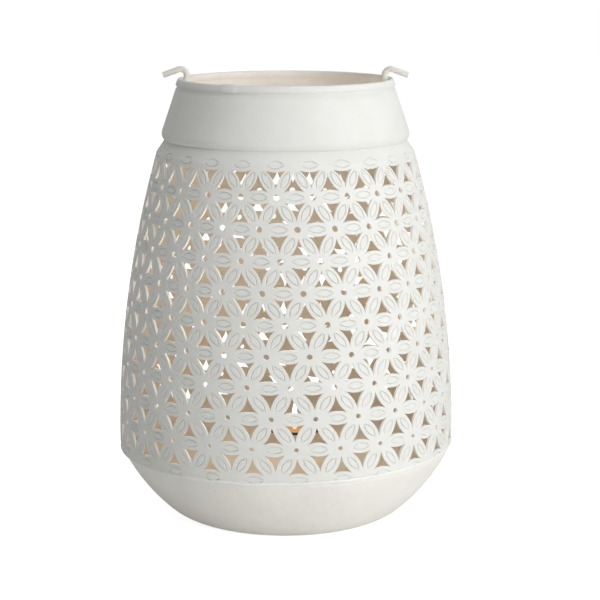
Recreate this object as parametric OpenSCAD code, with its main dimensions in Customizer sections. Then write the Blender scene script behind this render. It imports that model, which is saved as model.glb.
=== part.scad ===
// Pierced candle lantern: a barrel of pierced sheet on a plain bowl, a plain
// conical collar with a folded rim strip, two wire hooks and a lit tea light.
// Millimetres, Z up, origin on the table under the middle of the base.

/* [Sheet] */
// Thickness of the sheet of barrel, bowl, collar and plate
sheet_t = 1.6; // [1.2:0.1:2]

/* [Barrel] */
// Widest radius of the barrel, outside
barrel_r = 110.6; // [106:0.2:116]
// Radius of the arc that gives the barrel its bulge
barrel_bulge_r = 685; // [620:5:800]
// Height of the barrel's shoulder, where it turns in to the neck
shoulder_z = 241.6; // [236:0.2:248]
// Rise from the shoulder to the collar's lower edge
shoulder_rise = 7.8; // [6:0.2:10]
// Height of the weld seam between bowl and barrel, at the front
seam_z = 48; // [46:0.2:50]
// Rise of the seam from left to right, in degrees, as it was cut by hand
seam_tilt = 1; // [0:0.1:1.2]

/* [Petal lattice] */
// Rows of whole flowers, each with a hole in its middle
flower_rows = 9; // [7:1:10]
// Flowers in a row
flowers = 25; // [20:1:26]
// Height of the lattice's lowest line above the seam
lattice_margin = 2.1; // [2:0.1:3]
// Lean of the lattice from one row to the next, in degrees
row_lean = 0.87; // [0:0.01:1.2]
// Angle from the front to a flower of the middle row, in degrees
flower_turn = 0.2; // [-3:0.1:3]
// Width of a three-cornered gap between petals
gap_w = 11.2; // [8:0.1:12.4]
// Height of a three-cornered gap between petals
gap_h = 9.7; // [7:0.1:10]
// Height from a row's line to the nearest corners of a gap
gap_lift = 3.1; // [2:0.1:3.6]
// How far a petal's edge bulges into a gap
gap_bulge = 0.5; // [0.3:0.1:1.8]
// Diameter of the hole in a flower's middle
eye_d = 3.4; // [2:0.1:3.8]

/* [Bowl] */
// Radius of the flat that the lantern stands on
foot_r = 58; // [54:0.5:62]
// Radius of the arc that joins the flat to the bowl's side
foot_round_r = 34; // [30:0.5:36]
// Height at which that arc meets the bowl's side
foot_round_z = 8; // [7:0.25:9]
// Height that the bowl stands up inside the barrel, from the seam
bowl_lap = 3.4; // [2.6:0.1:3.6]

/* [Collar] */
// Widest radius of the collar, at its rolled lower lip
collar_lip_r = 80.7; // [80:0.1:82]
// Radius of the roll of the lip
lip_round_r = 5.8; // [5:0.1:7]
// Angle through which the lip turns in, in degrees
lip_turn = 43; // [36:1:50]
// Lean of the collar's side from upright, in degrees
collar_lean = 18.8; // [16:0.2:21]
// Height of the collar from its lower edge to its top edge
collar_h = 37.6; // [34:0.2:42]

/* [Rim strip] */
// Thickness of the strip folded over the collar's top edge
strip_t = 0.8; // [0.5:0.05:1]
// Height of the folded strip below the collar's top edge
strip_h = 3.3; // [2.5:0.1:5]
// Angle from the front to the lap in the strip, in degrees
strip_lap_turn = -34; // [-60:1:60]
// Length of the lap in the strip, as an angle in degrees
strip_lap_angle = 8; // [4:1:15]

/* [Hooks] */
// Diameter of the hook wire
wire_d = 4; // [3:0.1:5]
// Radius of the bend over the rim, at the wire's middle
hook_bend_r = 4; // [3.5:0.1:6]
// Length of the shank above the collar's top edge
hook_rise = 3.3; // [2.5:0.1:6]
// Length of the shank below the collar's top edge
hook_shank = 20; // [16:0.5:24]
// Length of the straight tip that a handle hangs from
hook_tip = 9.4; // [6:0.2:14]
// Slope of the tip below level, in degrees
hook_slope = 20; // [10:1:35]
// Radius of a tack weld that holds a shank
tack_r = 2.9; // [2.7:0.1:3.2]

/* [Candle plate] */
// Height of the top of the candle plate
plate_z = 42; // [36:0.5:44]
// Clearance between the plate's edge and the bowl
plate_gap = 0.2; // [0.1:0.05:0.5]
// Tack welds that hold the plate
plate_tacks = 4; // [3:1:6]
// Radius of a tack weld that holds the plate
plate_tack_r = 2; // [1.5:0.1:2.5]

/* [Tea light] */
// Diameter of the tea light
candle_d = 38; // [34:0.5:42]
// Height of the tea light's cup
cup_h = 14.5; // [12:0.5:18]
// Thickness of the cup's wall
cup_t = 0.5; // [0.4:0.05:0.8]
// Width of the lip rolled out round the cup's rim
cup_lip = 0.7; // [0.4:0.05:1]
// Depth from the cup's rim to the wax
wax_drop = 2.2; // [1.5:0.1:4]
// Offset of the tea light to the right of the middle
candle_x = 5.7; // [-10:0.1:10]
// Diameter of the wick
wick_d = 1.4; // [1:0.1:2]
// Height of the wick above the wax
wick_rise = 5.5; // [4:0.5:9]
// Diameter of the thin disc that holds the wick upright
sustainer_d = 13; // [10:0.5:16]
// Height of the neck of that disc
sustainer_neck_h = 4; // [3:0.2:6]

/* [Hidden] */

$fn = 96;
FRONT = -90;
HALF_TURN = 180;

// One overrun serves every cut that passes through a face
overrun = 2;
// Clearance between faces that meet but aren't cut from one another
face_gap = 0.05;
// Clearance under the tea light
seat_gap = 0.2;
// Angle by which a hook's bend reaches over its straight ends
bend_overlap = 2;

// Colours, as the photograph shows them
WHITE_PAINT = [0.91, 0.91, 0.89];
CREAM_PAINT = [0.88, 0.86, 0.80];
WELD_PAINT = [0.95, 0.95, 0.93];
BEIGE_PAINT = [0.74, 0.66, 0.54];
ALUMINIUM = [0.72, 0.73, 0.74];
TIN = [0.60, 0.61, 0.62];
WAX = [0.97, 0.92, 0.80];
COTTON = [0.25, 0.22, 0.20];

// Steps in the outline of each arc
side_steps = 14;
foot_steps = 8;
lip_steps = 8;
bead_steps = 5;
// Steps along one edge of a gap in the lattice
gap_steps = 2;
// Sides of the small hole in a flower's middle
eye_sides = 8;
// Sides of a large round that small beads are cut from
fine_sides = 360;

// Points of an arc about a centre, from one angle to another
function arc(centre, r, from, to, steps) = [
    for (i = [0:steps])
        let (a = from + (to - from) * i / steps)
        centre + r * [cos(a), sin(a)]
];

// Lattice lines, from the half flowers at the seam to those at the shoulder
lattice_z = seam_z + lattice_margin;
row_pitch = (shoulder_z - lattice_z) / (flower_rows + 1);
middle_row = (flower_rows + 1) / 2;
flower_angle = 360 / flowers;

function row_z(row) = lattice_z + row * row_pitch;
// The barrel is a stack of cones that meet just above each row's holes
function ring_z(row) = row_z(row) + (eye_d / 2 + gap_lift) / 2;
function row_turn(row) =
    flower_turn + (middle_row - row) * row_lean
    + (row + 1) % 2 * flower_angle / 2;
// How far the lattice leans sideways for each millimetre of height
function lean_share(r) = row_lean * PI / HALF_TURN * r / row_pitch;

// Barrel: an arc about a far centre, upright below the first ring
neck_z = shoulder_z + shoulder_rise;
seam_drop = barrel_r * tan(seam_tilt);
function barrel_at(z, inset = 0) =
    barrel_r - barrel_bulge_r
    + sqrt(pow(barrel_bulge_r - inset, 2) - pow(max(z - ring_z(0), 0), 2));

// Collar: a lip rolled about its own centre, then a straight cone
collar_z = neck_z + face_gap;
lip_centre = [collar_lip_r - lip_round_r, collar_z + lip_round_r * sin(lip_turn)];
lip_edge_r = lip_centre.x + lip_round_r * cos(lip_turn);
collar_top_z = collar_z + collar_h;
cone_start = lip_centre + lip_round_r * [cos(collar_lean), sin(collar_lean)];
function collar_at(z, inset = 0) =
    cone_start.x - (z - cone_start.y) * tan(collar_lean) - inset / cos(collar_lean);
// Middle of the collar's top edge, which the rim strip and hooks are set on
rim_middle = [collar_at(collar_top_z, sheet_t / 2), collar_top_z];

// Neck: the shoulder runs in to the lip's inner corner, then stands upright up
// to the collar's side
neck_r = lip_edge_r - sheet_t * cos(lip_turn) - face_gap;
neck_bend_z = neck_z + sheet_t * sin(lip_turn) - face_gap;
shoulder_slope = (barrel_at(shoulder_z) - neck_r) / (neck_bend_z - shoulder_z);
neck_bend_drop = sheet_t * tan(atan(shoulder_slope) / 2);
neck_top_z = cone_start.y
    + (cone_start.x - (sheet_t + face_gap) / cos(collar_lean) - neck_r) / tan(collar_lean);

// Bowl: a foot arc, then a side arc that meets the inside of the barrel
bowl_r = barrel_r - sheet_t;
bowl_edge_z = seam_z - seam_drop;
bowl_top_z = seam_z + bowl_lap;
foot_turn = acos(1 - foot_round_z / foot_round_r);
foot_centre = [foot_r, foot_round_r];
side_start = foot_centre + foot_round_r * [sin(foot_turn), -cos(foot_turn)];
side_run = [bowl_r, bowl_edge_z] - side_start;
side_round_r = side_run * side_run
    / (2 * (side_run.y * cos(foot_turn) - side_run.x * sin(foot_turn)));
side_centre = side_start + side_round_r * [-sin(foot_turn), cos(foot_turn)];
// A barrel much wider than the foot turns the side's arc hollow, and its sign over
side_sign = sign(side_round_r);
side_end = side_sign * ([bowl_r, bowl_edge_z] - side_centre);
side_end_turn = atan2(side_end.y, side_end.x);

function bowl_outline(inset) = concat(
    arc(foot_centre, foot_round_r - inset, FRONT, FRONT + foot_turn, foot_steps),
    [for (i = [1:side_steps])
        let (a = FRONT + foot_turn
            + (side_end_turn - FRONT - foot_turn) * i / side_steps)
        side_centre + (side_round_r - inset) * [cos(a), sin(a)]]
);
function bowl_inside_at(z) =
    side_centre.x
    + side_sign * sqrt(pow(side_round_r - sheet_t, 2) - pow(z - side_centre.y, 2));

// Candle plate and tea light
plate_r = bowl_inside_at(plate_z - sheet_t) - plate_gap;
cup_z = plate_z + seat_gap;
wax_z = cup_z + cup_h - wax_drop;
wax_r = candle_d / 2 - cup_t;
cup_floor_z = cup_z + cup_t;
// Thickness of the wick's disc, and of the neck round the wick
sustainer_t = cup_t / 2;
sustainer_neck_r = wick_d / 2 + sustainer_t;
sustainer_neck_z = cup_floor_z + sustainer_neck_h;

// A solid that fills the bowl's inside up to its top edge, clear of the wall
module bowl_inside() {
    inset = sheet_t + face_gap;
    rotate_extrude()
        polygon(concat(
            [[0, inset]],
            bowl_outline(inset),
            [[bowl_r - inset, bowl_top_z], [0, bowl_top_z]]
        ));
}

module base_bowl() {
    inner = bowl_outline(sheet_t);
    color(WHITE_PAINT) rotate_extrude() polygon(concat(
        [[0, 0]],
        bowl_outline(0),
        [[bowl_r, bowl_top_z], [bowl_r - sheet_t, bowl_top_z]],
        [for (i = [len(inner) - 1:-1:0]) inner[i]],
        [[0, sheet_t]]
    ));
}

// Points along one edge of a gap, which bulges into it as a petal does
function petal_edge(a, b) = let (run = b - a, inward = [-run.y, run.x] / norm(run)) [
    for (i = [0:gap_steps - 1])
        let (t = i / gap_steps)
        a + run * t + inward * 4 * gap_bulge * t * (1 - t)
];

// A gap's outline above (side 1) or below (side -1) a row's line, leaning with
// the lattice. Its three corners point at the middles of three flowers.
function gap_outline(side, lean) = let (
    left = [-gap_w / 2, gap_lift],
    right = [gap_w / 2, gap_lift],
    tip = [0, gap_lift + gap_h]
) [
    for (p = concat(petal_edge(left, right), petal_edge(right, tip), petal_edge(tip, left)))
        [p.x - side * p.y * lean, side * p.y]
];

// Pushes a flat shape through the barrel's sheet, upright at an angle and height
module punch(turn, z) {
    reach = gap_lift + gap_h;
    inner_r = barrel_at(z + reach) - 2 * sheet_t;
    outer_r = barrel_at(z - reach) + sheet_t;
    rotate([0, 0, FRONT + turn]) translate([inner_r, 0, z]) rotate([90, 0, 90])
        linear_extrude(outer_r - inner_r) children();
}

module barrel_blank() {
    rings = concat([for (row = [0:flower_rows]) ring_z(row)], [shoulder_z]);
    foot_z = bowl_edge_z - overrun;
    outer = concat(
        [[barrel_r, foot_z]],
        [for (z = rings) [barrel_at(z), z]],
        [[neck_r, neck_bend_z], [neck_r, neck_top_z]]
    );
    inner = concat(
        [[bowl_r, foot_z]],
        [for (z = rings) [barrel_at(z, sheet_t), z]],
        [[neck_r - sheet_t, neck_bend_z - neck_bend_drop], [neck_r - sheet_t, neck_top_z]]
    );
    rotate_extrude()
        polygon(concat(outer, [for (i = [len(inner) - 1:-1:0]) inner[i]]));
}

// Everything below the seam, which rises from left to right
module below_seam() {
    depth = seam_drop + bowl_edge_z;
    translate([0, 0, seam_z]) rotate([0, -seam_tilt, 0])
        translate([0, 0, -depth]) cylinder(r = barrel_r + overrun, h = depth);
}

module pierced_body() {
    color(WHITE_PAINT) difference() {
        barrel_blank();
        below_seam();
        for (row = [0:flower_rows], i = [0:flowers - 1]) {
            turn = (i + 0.5) * flower_angle;
            lower_z = row_z(row);
            upper_z = row_z(row + 1);
            lean = lean_share(barrel_at((lower_z + upper_z) / 2));
            punch(row_turn(row) + turn, lower_z)
                polygon(gap_outline(1, lean));
            punch(row_turn(row + 1) + turn, upper_z)
                polygon(gap_outline(-1, lean));
        }
        for (row = [1:flower_rows], i = [0:flowers - 1])
            punch(row_turn(row) + i * flower_angle, row_z(row))
                circle(d = eye_d, $fn = eye_sides);
    }
}

// The bead that closes the step from the barrel's edge to the bowl
module seam_weld() {
    bead_r = sheet_t + face_gap;
    // Two gaps, as the tilt brings one side of the bead nearer to the upright bowl
    clear = 2 * face_gap;
    color(WELD_PAINT) translate([0, 0, seam_z - face_gap]) rotate([0, -seam_tilt, 0])
        rotate_extrude() polygon(concat(
            [[bowl_r + clear, 0]],
            arc([bowl_r, 0], bead_r, 0, -acos(clear / bead_r), bead_steps)
        ));
}

module candle_plate() {
    color(BEIGE_PAINT) translate([0, 0, plate_z - sheet_t])
        cylinder(r = plate_r, h = sheet_t);
}

module plate_tack_welds() {
    color(BEIGE_PAINT) intersection() {
        bowl_inside();
        for (i = [0:plate_tacks - 1])
            rotate([0, 0, (i + 0.5) * 360 / plate_tacks])
                translate([plate_r, 0, plate_z])
                    intersection() {
                        sphere(r = plate_tack_r);
                        translate([-plate_tack_r - overrun, -plate_tack_r - overrun, 0])
                            cube(2 * (plate_tack_r + overrun));
                    }
    }
}

module collar() {
    top_inner = rim_middle - sheet_t / 2 * [cos(collar_lean), sin(collar_lean)];
    top_outer = rim_middle + sheet_t / 2 * [cos(collar_lean), sin(collar_lean)];
    color(WHITE_PAINT) rotate_extrude() polygon(concat(
        arc(lip_centre, lip_round_r, -lip_turn, collar_lean, lip_steps),
        [top_outer, top_inner],
        arc(lip_centre, lip_round_r - sheet_t, collar_lean, -lip_turn, lip_steps)
    ));
}

// The bead inside that joins the top of the neck to the collar's side
module neck_weld() {
    bead_top_z = neck_top_z + sheet_t;
    color(CREAM_PAINT) rotate_extrude() polygon([
        [neck_r - sheet_t, neck_top_z + face_gap],
        [collar_at(neck_top_z + face_gap, sheet_t + face_gap), neck_top_z + face_gap],
        [collar_at(bead_top_z, sheet_t + face_gap), bead_top_z],
        [neck_r - sheet_t, neck_top_z + sheet_t / 2]
    ]);
}

// The rim strip's cross-section, in the collar's own lean, with its slot
module strip_section(grow) {
    half = sheet_t / 2 + strip_t + grow;
    translate(rim_middle) rotate(collar_lean) difference() {
        union() {
            translate([-half, -strip_h]) square([2 * half, strip_h]);
            circle(r = half);
        }
        translate([-sheet_t / 2, -strip_h - overrun])
            square([sheet_t, strip_h + overrun]);
    }
}

module rim_strip() {
    color(WHITE_PAINT) {
        rotate_extrude() strip_section(0);
        rotate([0, 0, FRONT + strip_lap_turn])
            rotate_extrude(angle = strip_lap_angle) strip_section(strip_t / 2);
    }
}

// Places a piece in the collar's lean, at the right, on a hook's shank
module on_shank() {
    away = sheet_t / 2 + strip_t + face_gap + wire_d / 2;
    translate([rim_middle.x, 0, rim_middle.y]) rotate([0, -collar_lean, 0])
        translate([-away, 0, 0]) children();
}

// A hook, as bent from straight wire: shank, bend over the rim, sloping tip
module hook() {
    turn = 90 + collar_lean + hook_slope;
    on_shank() {
        translate([0, 0, -hook_shank]) cylinder(d = wire_d, h = hook_shank + hook_rise);
        translate([hook_bend_r, 0, hook_rise]) rotate([90, 0, 0])
            rotate([0, 0, HALF_TURN - turn - bend_overlap])
                rotate_extrude(angle = turn + 2 * bend_overlap)
                    translate([hook_bend_r, 0]) circle(d = wire_d + face_gap);
        translate([
            hook_bend_r * (1 - cos(turn)),
            0,
            hook_rise + hook_bend_r * sin(turn)
        ])
            rotate([0, turn, 0]) cylinder(d = wire_d, h = hook_tip);
    }
}

// Two tack welds that hold a shank to the collar's inside
module hook_tacks() {
    shares = [0.38, 0.82];
    intersection() {
        rotate_extrude($fn = fine_sides) polygon([
            [0, neck_top_z],
            [collar_at(neck_top_z, sheet_t + face_gap), neck_top_z],
            [collar_at(collar_top_z, sheet_t + face_gap), collar_top_z],
            [0, collar_top_z]
        ]);
        on_shank() difference() {
            for (share = shares)
                translate([wire_d / 2, 0, -hook_shank * share])
                    sphere(r = tack_r);
            translate([0, 0, -hook_shank - overrun])
                cylinder(d = wire_d + 2 * face_gap, h = hook_shank + overrun);
        }
    }
}

module hook_right() { color(WHITE_PAINT) hook(); }
module hook_left() { color(WHITE_PAINT) rotate([0, 0, HALF_TURN]) hook(); }
module hook_tacks_right() { color(CREAM_PAINT) hook_tacks(); }
module hook_tacks_left() { color(CREAM_PAINT) rotate([0, 0, HALF_TURN]) hook_tacks(); }

module tealight_cup() {
    half = candle_d / 2;
    rim_z = cup_z + cup_h;
    color(ALUMINIUM) translate([candle_x, 0, 0]) rotate_extrude() polygon([
        [0, cup_z],
        [half - cup_t, cup_z],
        [half, cup_z + cup_t],
        [half, rim_z - cup_t],
        [half + cup_lip, rim_z - cup_t],
        [half + cup_lip, rim_z],
        [half - cup_t, rim_z],
        [half - cup_t, cup_floor_z],
        [0, cup_floor_z]
    ]);
}

module tealight_wax() {
    color(WAX) translate([candle_x, 0, 0]) difference() {
        translate([0, 0, cup_floor_z]) cylinder(r = wax_r, h = wax_z - cup_floor_z);
        translate([0, 0, cup_floor_z - overrun])
            cylinder(d = sustainer_d, h = overrun + sustainer_t);
        translate([0, 0, cup_floor_z - overrun])
            cylinder(r = sustainer_neck_r, h = overrun + sustainer_neck_h);
        cylinder(d = wick_d, h = wax_z + overrun);
    }
}

module wick_sustainer() {
    color(TIN) translate([candle_x, 0, 0]) difference() {
        translate([0, 0, cup_floor_z]) {
            cylinder(d = sustainer_d, h = sustainer_t);
            cylinder(r = sustainer_neck_r, h = sustainer_neck_h);
        }
        translate([0, 0, cup_floor_z + sustainer_t])
            cylinder(d = wick_d, h = sustainer_neck_h);
    }
}

module wick() {
    wick_z = cup_floor_z + sustainer_t;
    color(COTTON) translate([candle_x, 0, wick_z])
        cylinder(d = wick_d, h = wax_z + wick_rise - wick_z);
}

base_bowl();
pierced_body();
seam_weld();
candle_plate();
plate_tack_welds();
collar();
neck_weld();
rim_strip();
hook_left();
hook_right();
hook_tacks_left();
hook_tacks_right();
tealight_cup();
tealight_wax();
wick_sustainer();
wick();
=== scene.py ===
"""A hand-made candle lantern of pierced sheet.

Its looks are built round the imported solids, which fix its shape and its motion.

Sizes are in millimetres, as the part's source has them, and meshes are written in metres.
"""

from __future__ import annotations

import logging
import math
from collections.abc import Callable
from dataclasses import dataclass, field
from enum import Enum
from typing import Any

import bmesh
import bpy
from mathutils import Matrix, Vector, noise

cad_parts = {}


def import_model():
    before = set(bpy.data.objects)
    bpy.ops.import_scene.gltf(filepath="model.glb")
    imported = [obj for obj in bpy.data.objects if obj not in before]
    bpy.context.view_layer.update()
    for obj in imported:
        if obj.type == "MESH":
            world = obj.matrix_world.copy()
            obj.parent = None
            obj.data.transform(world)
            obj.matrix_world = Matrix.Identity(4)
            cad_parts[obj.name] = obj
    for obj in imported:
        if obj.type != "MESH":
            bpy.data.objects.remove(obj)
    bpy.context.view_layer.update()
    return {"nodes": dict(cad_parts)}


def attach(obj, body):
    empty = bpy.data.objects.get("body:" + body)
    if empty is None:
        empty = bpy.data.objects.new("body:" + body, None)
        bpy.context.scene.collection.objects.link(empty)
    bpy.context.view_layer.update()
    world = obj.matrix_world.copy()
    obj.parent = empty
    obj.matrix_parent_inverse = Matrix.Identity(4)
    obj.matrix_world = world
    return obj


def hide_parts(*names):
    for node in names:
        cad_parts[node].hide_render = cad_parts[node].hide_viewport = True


MM = 0.001
FRONT = -90.0
WELD_DISTANCE = 0.004 * MM
log = logging.getLogger("lantern")

Point = tuple[float, float]


class Body(Enum):
    """The parts that move apart."""

    LANTERN = "lantern"
    TEALIGHT = "tealight"


class Slot(Enum):
    """The record's material slots."""

    WHITE = "white_paint"
    WELD = "weld_paint"
    HOOK = "hook_paint"
    FOIL = "aluminium_foil"
    WAX = "candle_wax"
    COTTON = "cotton_wick"


def linear(hex_colour: str) -> tuple[float, float, float, float]:
    """Turn an sRGB hex colour into linear light.

    Args:
        hex_colour: Six hex digits after a hash.

    Returns:
        Linear red, green, blue and an alpha of 1.
    """
    parts = [int(hex_colour[i : i + 2], 16) / 255 for i in (1, 3, 5)]
    red, green, blue = (c / 12.92 if c <= 0.04045 else ((c + 0.055) / 1.055) ** 2.4 for c in parts)
    return red, green, blue, 1.0


def add_node(
    tree: bpy.types.NodeTree,
    kind: str,
    settings: dict[str, Any] | None = None,
    inputs: dict[str | int, Any] | None = None,
) -> bpy.types.Node:
    """Add a node with its settings, values and links.

    Args:
        tree: The tree that gets the node.
        kind: The node's type name.
        settings: Properties of the node.
        inputs: For an input's name or number, a value or the socket that feeds it.

    Returns:
        The new node.
    """
    node = tree.nodes.new(kind)
    for name, value in (settings or {}).items():
        setattr(node, name, value)
    for name, value in (inputs or {}).items():
        if isinstance(value, bpy.types.NodeSocket):
            tree.links.new(value, node.inputs[name])
        else:
            node.inputs[name].default_value = value
    return node


def new_material(name: str) -> tuple[bpy.types.Material, bpy.types.NodeTree, bpy.types.NodeSocket]:
    """Make a node material that holds only its coordinates.

    Args:
        name: What the material is called.

    Returns:
        The material, its tree, and the socket that gives a place on the piece.
    """
    material = bpy.data.materials.new(name)
    material.use_nodes = True
    tree = material.node_tree
    tree.nodes.clear()
    return material, tree, add_node(tree, "ShaderNodeTexCoord").outputs["Object"]


def add_unevenness(
    tree: bpy.types.NodeTree,
    place: bpy.types.NodeSocket,
    size_mm: float,
    depth_mm: float,
    detail: float = 2.0,
    over: bpy.types.NodeSocket | None = None,
) -> bpy.types.NodeSocket:
    """Add noise of a real size, and the relief that it gives a surface.

    Args:
        tree: The material's tree.
        place: The place on the piece.
        size_mm: The width of one wave of the noise.
        depth_mm: How deep it is.
        detail: How many finer layers the noise has.
        over: The coarser relief that this one lies on.

    Returns:
        The surface's uneven normal.
    """
    waves = add_node(tree, "ShaderNodeTexNoise", inputs={
        "Vector": place, "Scale": 1 / (size_mm * MM), "Detail": detail})
    relief = add_node(tree, "ShaderNodeBump", inputs={
        "Height": waves.outputs["Fac"], "Distance": depth_mm * MM, "Strength": 1.0})
    if over is not None:
        tree.links.new(over, relief.inputs["Normal"])
    return relief.outputs["Normal"]


@dataclass(frozen=True)
class MattePaint:
    """Matte alkyd paint brushed on sheet steel.

    It looks chalky, with faint clouding, pits and a soft uneven skin.
    """

    name: str
    colour: str
    cloud_colour: str
    roughness: float = 0.62
    cloud_mm: float = 38.0
    # The noise values between which the paint turns from one colour to the other
    cloud_from: float = 0.42
    cloud_to: float = 0.62
    # Pits stand this far apart; core and edge are shares of that distance
    pit_mm: float = 7.0
    pit_core: float = 0.035
    pit_edge: float = 0.06
    pit_colour: str = "#8d8a82"
    pit_tint: float = 0.22
    skin_mm: float = 9.0
    skin_depth_mm: float = 0.3
    # Real brush grain is about 0.3 mm; it is drawn more than twice as coarse so that it shows
    grain_mm: float = 0.7
    grain_depth_mm: float = 0.1

    def build(self) -> bpy.types.Material:
        """Build the paint's material.

        Returns:
            The material.
        """
        material, tree, place = new_material(self.name)
        cloud = add_node(tree, "ShaderNodeTexNoise", inputs={
            "Vector": place, "Scale": 1 / (self.cloud_mm * MM), "Detail": 4.0, "Roughness": 0.55})
        colour = add_node(tree, "ShaderNodeMix", {"data_type": "RGBA"}, {
            "Factor": add_node(tree, "ShaderNodeMapRange", inputs={
                "Value": cloud.outputs["Fac"],
                "From Min": self.cloud_from, "From Max": self.cloud_to}).outputs["Result"],
            "A": linear(self.colour), "B": linear(self.cloud_colour)})
        pits = add_node(tree, "ShaderNodeTexVoronoi", inputs={
            "Vector": place, "Scale": 1 / (self.pit_mm * MM), "Randomness": 1.0})
        pit = add_node(tree, "ShaderNodeMapRange", inputs={
            "Value": pits.outputs["Distance"], "From Min": self.pit_core, "From Max": self.pit_edge,
            "To Min": 1.0, "To Max": 0.0})
        speckled = add_node(tree, "ShaderNodeMix", {"data_type": "RGBA"}, {
            "Factor": add_node(tree, "ShaderNodeMath", {"operation": "MULTIPLY"}, {
                0: pit.outputs["Result"], 1: self.pit_tint}).outputs["Value"],
            "A": colour.outputs["Result"], "B": linear(self.pit_colour)})
        skin = add_unevenness(tree, place, self.skin_mm, self.skin_depth_mm)
        grain = add_unevenness(tree, place, self.grain_mm, self.grain_depth_mm, 3.0, skin)
        shader = add_node(tree, "ShaderNodeBsdfPrincipled", inputs={
            "Base Color": speckled.outputs["Result"], "Roughness": self.roughness,
            "IOR": 1.5, "Normal": grain})
        add_node(tree, "ShaderNodeOutputMaterial", inputs={"Surface": shader.outputs["BSDF"]})
        return material


@dataclass(frozen=True)
class DrawnMetal:
    """Drawn sheet metal, such as a candle's aluminium cup.

    It looks bright, with fine scuffs from drawing and handling.
    """

    name: str
    colour: str
    scuff_colour: str
    roughness: float = 0.32
    scuff_mm: float = 2.4
    scuff_depth_mm: float = 0.03
    # How far the roughness falls below and rises above its mean between scuffs
    smoother: float = 0.08
    rougher: float = 0.12

    def build(self) -> bpy.types.Material:
        """Build the metal's material.

        Returns:
            The material.
        """
        material, tree, place = new_material(self.name)
        scuffs = add_node(tree, "ShaderNodeTexNoise", inputs={
            "Vector": place, "Scale": 1 / (self.scuff_mm * MM), "Detail": 5.0})
        colour = add_node(tree, "ShaderNodeMix", {"data_type": "RGBA"}, {
            "Factor": scuffs.outputs["Fac"], "A": linear(self.colour), "B": linear(self.scuff_colour)})
        rough = add_node(tree, "ShaderNodeMapRange", inputs={
            "Value": scuffs.outputs["Fac"],
            "To Min": self.roughness - self.smoother, "To Max": self.roughness + self.rougher})
        bump = add_node(tree, "ShaderNodeBump", inputs={
            "Height": scuffs.outputs["Fac"], "Distance": self.scuff_depth_mm * MM})
        shader = add_node(tree, "ShaderNodeBsdfPrincipled", inputs={
            "Base Color": colour.outputs["Result"], "Metallic": 1.0,
            "Roughness": rough.outputs["Result"], "Normal": bump.outputs["Normal"]})
        add_node(tree, "ShaderNodeOutputMaterial", inputs={"Surface": shader.outputs["BSDF"]})
        return material


@dataclass(frozen=True)
class ParaffinWax:
    """Paraffin wax round a burning wick.

    It has a soft sheen and a painted glow: emission that stands in for the flame's light on the wax, warm
    near the flame and duller at the rim.
    """

    name: str
    colour: str
    # glow, rim_glow and the strengths below set a painted glow: emission that stands in for the flame's
    # light on the wax
    glow: str
    rim_glow: str
    flame_x_mm: float
    flame_z_mm: float = 54.5
    glow_from_mm: float = 2.0
    glow_reach_mm: float = 9.0
    near_strength: float = 0.12
    far_strength: float = 0.03
    roughness: float = 0.45
    cloud_mm: float = 5.0
    cloud_depth_mm: float = 0.12
    # How far red, green and blue light travel inside the wax
    scatter_mm: tuple[float, float, float] = (4.0, 2.0, 1.0)

    def build(self) -> bpy.types.Material:
        """Build the wax's material.

        Returns:
            The material.
        """
        material, tree, place = new_material(self.name)
        away = add_node(tree, "ShaderNodeVectorMath", {"operation": "DISTANCE"}, {
            0: place, 1: (self.flame_x_mm * MM, 0.0, self.flame_z_mm * MM)})
        far = add_node(tree, "ShaderNodeMapRange", inputs={
            "Value": away.outputs["Value"],
            "From Min": self.glow_from_mm * MM, "From Max": self.glow_reach_mm * MM})
        # Painted glow: warm emission near the flame, fading towards the rim, stands in for the flame's
        # light.
        tint = add_node(tree, "ShaderNodeMix", {"data_type": "RGBA"}, {
            "Factor": far.outputs["Result"], "A": linear(self.glow), "B": linear(self.rim_glow)})
        glow = add_node(tree, "ShaderNodeMapRange", inputs={
            "Value": far.outputs["Result"], "To Min": self.near_strength, "To Max": self.far_strength})
        relief = add_unevenness(tree, place, self.cloud_mm, self.cloud_depth_mm)
        shader = add_node(tree, "ShaderNodeBsdfPrincipled", inputs={
            "Base Color": linear(self.colour), "Roughness": self.roughness,
            "IOR": 1.43, "Specular IOR Level": 0.1,
            "Subsurface Weight": 0.35, "Subsurface Radius": tuple(d * MM for d in self.scatter_mm),
            "Emission Color": tint.outputs["Result"], "Emission Strength": glow.outputs["Result"],
            "Normal": relief})
        add_node(tree, "ShaderNodeOutputMaterial", inputs={"Surface": shader.outputs["BSDF"]})
        return material


@dataclass(frozen=True)
class BurntCotton:
    """Braided cotton wick, charred at the top and wax-soaked below."""

    name: str
    char: str
    cotton: str
    base_mm: float
    top_mm: float
    strand_mm: float = 0.4
    strand_depth_mm: float = 0.15

    def build(self) -> bpy.types.Material:
        """Build the wick's material.

        Returns:
            The material.
        """
        material, tree, place = new_material(self.name)
        height = add_node(tree, "ShaderNodeSeparateXYZ", inputs={"Vector": place}).outputs["Z"]
        burnt = add_node(tree, "ShaderNodeMapRange", inputs={
            "Value": height, "From Min": self.base_mm * MM, "From Max": self.top_mm * MM})
        colour = add_node(tree, "ShaderNodeMix", {"data_type": "RGBA"}, {
            "Factor": burnt.outputs["Result"], "A": linear(self.cotton), "B": linear(self.char)})
        strands = add_unevenness(tree, place, self.strand_mm, self.strand_depth_mm)
        shader = add_node(tree, "ShaderNodeBsdfPrincipled", inputs={
            "Base Color": colour.outputs["Result"], "Roughness": 0.9, "Normal": strands})
        add_node(tree, "ShaderNodeOutputMaterial", inputs={"Surface": shader.outputs["BSDF"]})
        return material


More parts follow.
